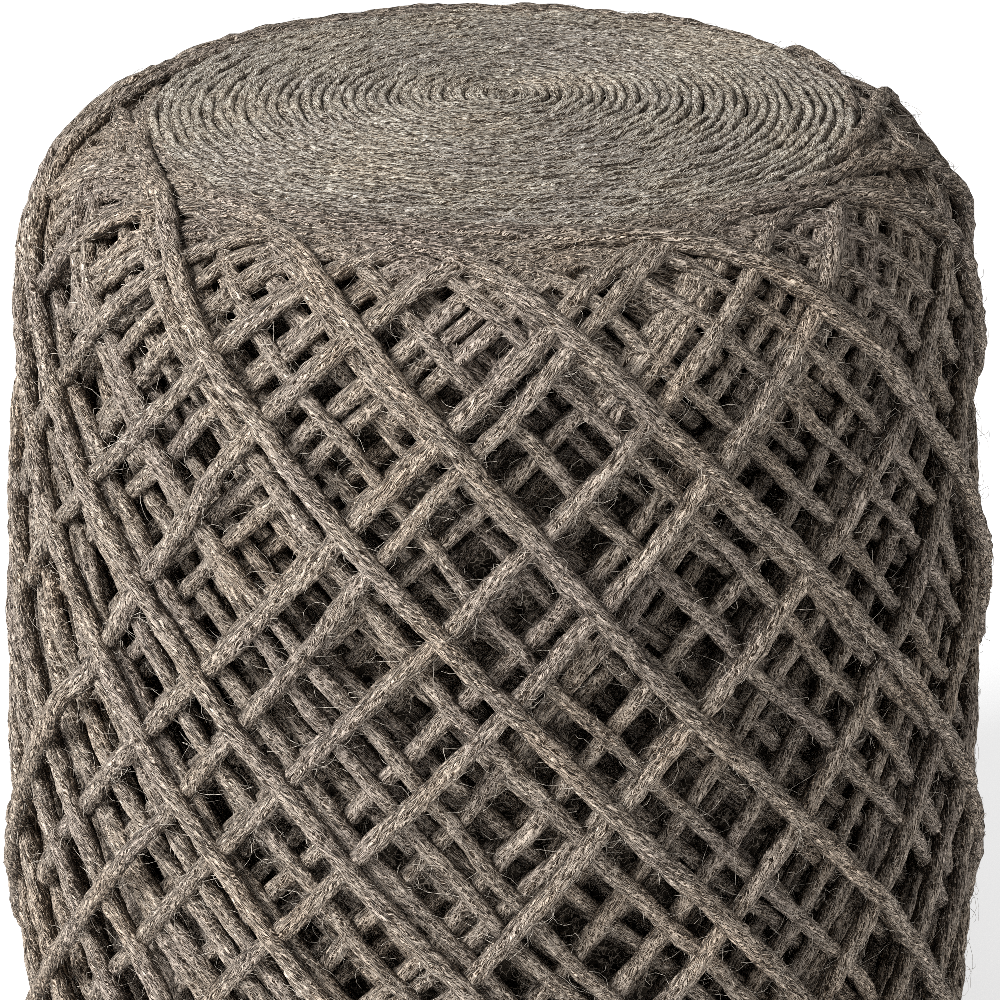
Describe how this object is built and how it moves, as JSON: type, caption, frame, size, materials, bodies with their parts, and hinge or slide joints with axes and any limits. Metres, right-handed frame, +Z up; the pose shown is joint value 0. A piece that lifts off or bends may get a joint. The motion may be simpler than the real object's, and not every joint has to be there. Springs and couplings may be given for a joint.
{
  "type": "yarn-wound pouf",
  "caption": "Round pouf wound in thick grey-brown wool yarn, with slanting crossed yarns round its side and a flat spiral coil on top.",
  "frame": {"origin": "centre of the flat base, on the surface that the pouf stands on", "axes": "+Z up, along the pouf's own axis; -Y faces the viewer of the picture"},
  "size_m": [0.4482, 0.448, 0.49],
  "materials": {
    "deep_wool": "matt felted wool, seen in shadow between the outer yarns",
    "yarn_wool": "matt heathered grey-brown wool yarn with loose fibres",
    "coil_wool": "matt heathered grey-brown wool yarn, felted flat"
  },
  "bodies": {
    "root": {"wound_core": "deep_wool", "top_coil": "coil_wool", "base_disc": "coil_wool", "second_yarn_01": "yarn_wool", "second_yarn_02": "yarn_wool", "second_yarn_03": "yarn_wool", "second_yarn_04": "yarn_wool", "second_yarn_05": "yarn_wool", "second_yarn_06": "yarn_wool", "second_yarn_07": "yarn_wool", "second_yarn_08": "yarn_wool", "second_yarn_09": "yarn_wool", "second_yarn_10": "yarn_wool", "second_yarn_11": "yarn_wool", "second_yarn_12": "yarn_wool", "second_yarn_13": "yarn_wool", "second_yarn_14": "yarn_wool", "outer_yarn_01": "yarn_wool", "outer_yarn_02": "yarn_wool", "outer_yarn_03": "yarn_wool", "outer_yarn_04": "yarn_wool", "outer_yarn_05": "yarn_wool", "outer_yarn_06": "yarn_wool", "outer_yarn_07": "yarn_wool", "outer_yarn_08": "yarn_wool", "outer_yarn_09": "yarn_wool", "outer_yarn_10": "yarn_wool", "outer_yarn_11": "yarn_wool", "outer_yarn_12": "yarn_wool", "outer_yarn_13": "yarn_wool", "outer_yarn_14": "yarn_wool"}
  },
  "joints": []
}
